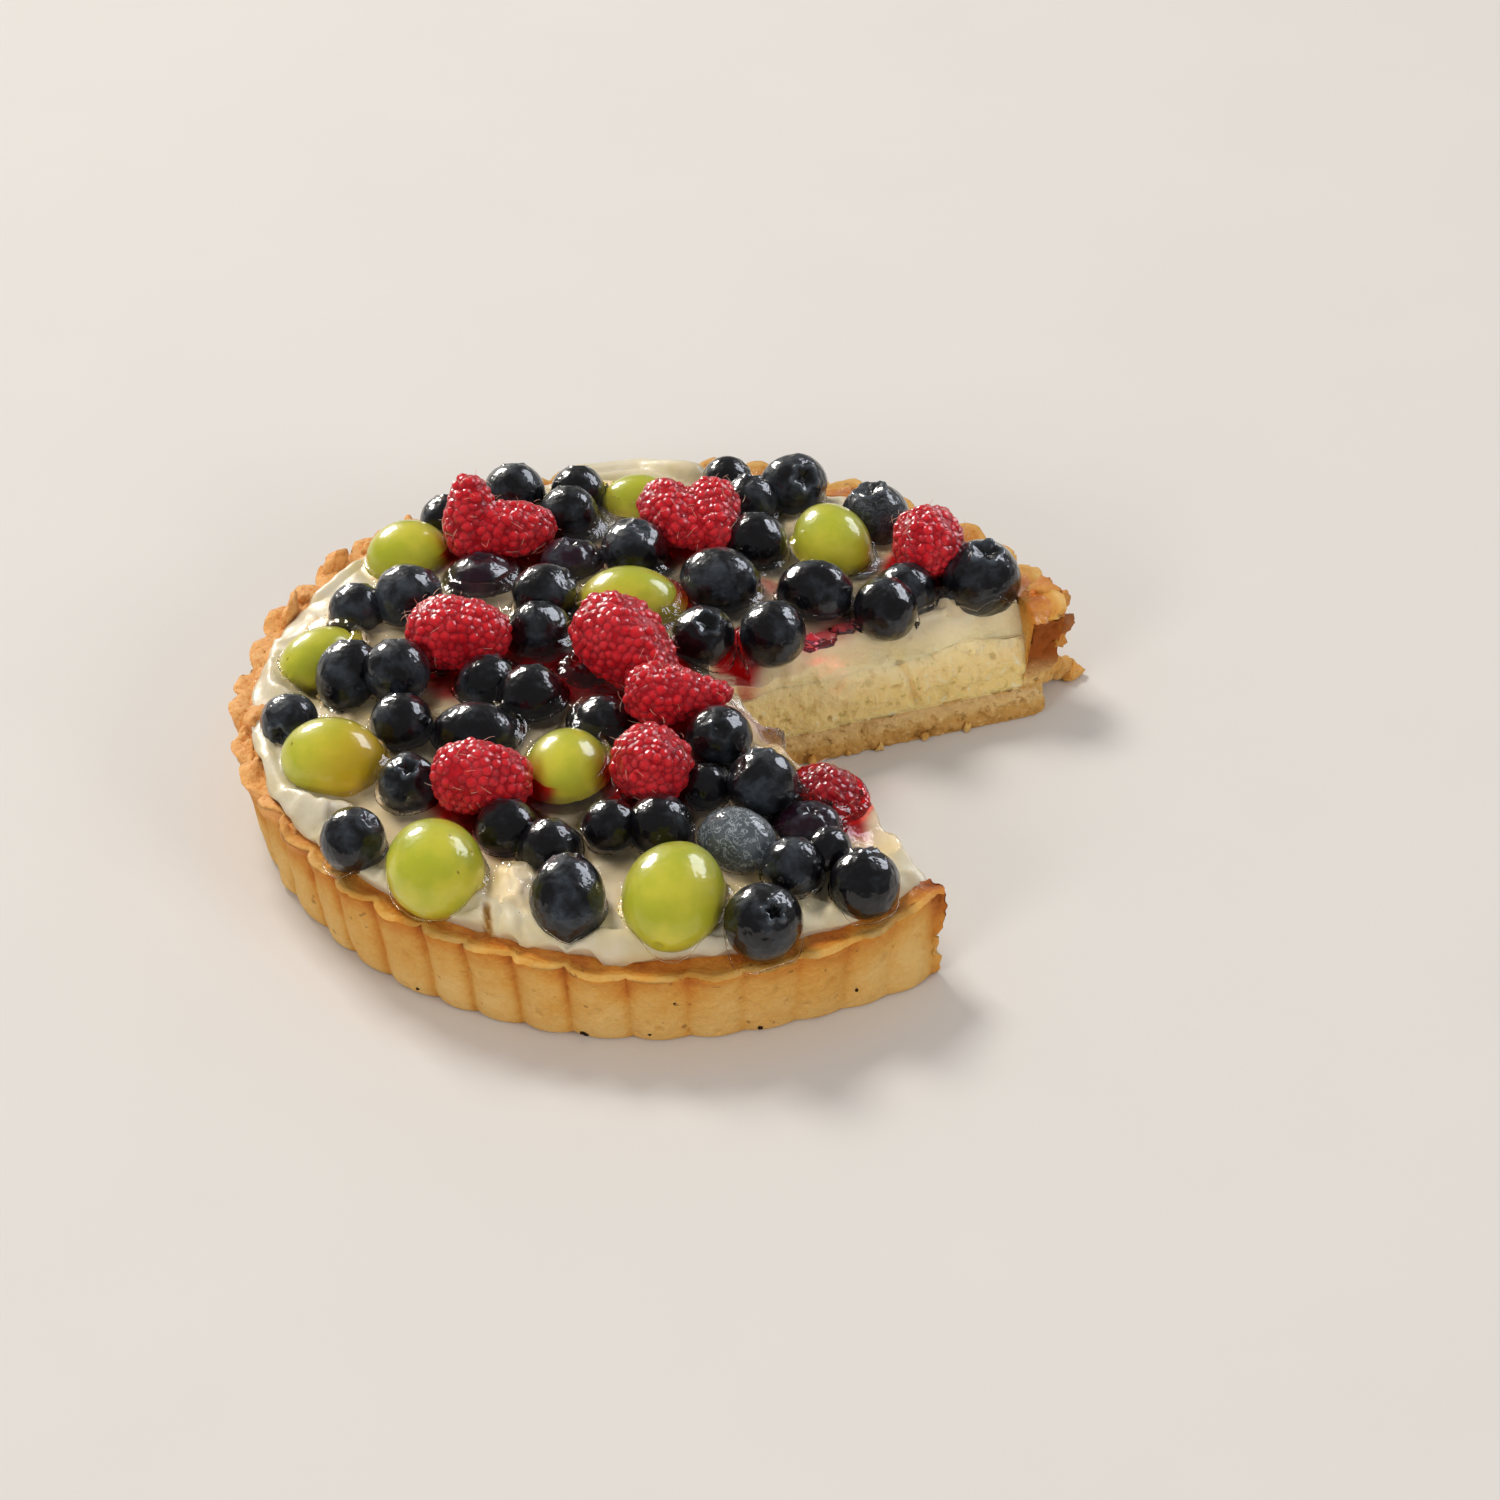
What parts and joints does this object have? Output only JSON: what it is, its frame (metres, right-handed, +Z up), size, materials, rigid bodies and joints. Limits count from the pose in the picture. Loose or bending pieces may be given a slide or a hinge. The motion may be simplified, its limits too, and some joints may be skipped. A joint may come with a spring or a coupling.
{
  "type": "berry tart",
  "caption": "Round fluted tart with one wedge cut out, layered base, custard and cream, its top covered with round dark berries, drupelet berries and green grapes.",
  "frame": {"origin": "centre of the crust's circle on its flat underside", "axes": "+Z up through the toppings, +X towards the wedge that is cut out, -Y towards the viewer of the picture"},
  "size_m": [0.1951, 0.195, 0.0499],
  "materials": {
    "crust": "baked shortcrust pastry, matt and crumbly, browned at the rim",
    "custard": "set baked custard, matt and porous at the cut",
    "cream": "smooth pastry cream under clear fruit glaze",
    "blueberry": "blueberry skin with patches of bloom under clear glaze",
    "raspberry": "raspberry drupelets, wet with glaze",
    "grape": "green grape, translucent, under clear glaze"
  },
  "bodies": {
    "root": {"crust": "crust", "custard": "custard", "cream": "cream", "blueberry_01": "blueberry", "blueberry_02_03": "blueberry", "blueberry_04": "blueberry", "blueberry_05": "blueberry", "blueberry_06": "blueberry", "blueberry_07": "blueberry", "blueberry_08_11": "blueberry", "blueberry_09_10": "blueberry", "blueberry_12_13": "blueberry", "blueberry_14_15": "blueberry", "blueberry_16": "blueberry", "blueberry_17": "blueberry", "blueberry_18": "blueberry", "blueberry_19": "blueberry", "blueberry_20": "blueberry", "blueberry_21_22": "blueberry", "blueberry_23": "blueberry", "blueberry_24_25": "blueberry", "blueberry_26": "blueberry", "blueberry_27": "blueberry", "blueberry_28": "blueberry", "blueberry_29_31": "blueberry", "blueberry_30": "blueberry", "blueberry_32": "blueberry", "blueberry_33": "blueberry", "blueberry_34": "blueberry", "blueberry_35_36": "blueberry", "blueberry_37": "blueberry", "blueberry_38": "blueberry", "blueberry_39": "blueberry", "blueberry_40": "blueberry", "blueberry_41": "blueberry", "blueberry_42": "blueberry", "blueberry_43": "blueberry", "blueberry_44": "blueberry", "blueberry_45_53": "blueberry", "blueberry_46": "blueberry", "blueberry_51": "blueberry", "grape_01": "grape", "grape_02": "grape", "grape_03": "grape", "grape_04": "grape", "grape_05": "grape", "grape_06": "grape", "grape_07": "grape", "grape_08": "grape", "grape_09": "grape", "raspberry_01": "raspberry", "raspberry_02": "raspberry", "raspberry_03": "raspberry", "raspberry_04": "raspberry", "raspberry_05": "raspberry", "raspberry_06": "raspberry", "raspberry_07": "raspberry", "raspberry_08": "raspberry", "raspberry_09": "raspberry"}
  },
  "joints": []
}
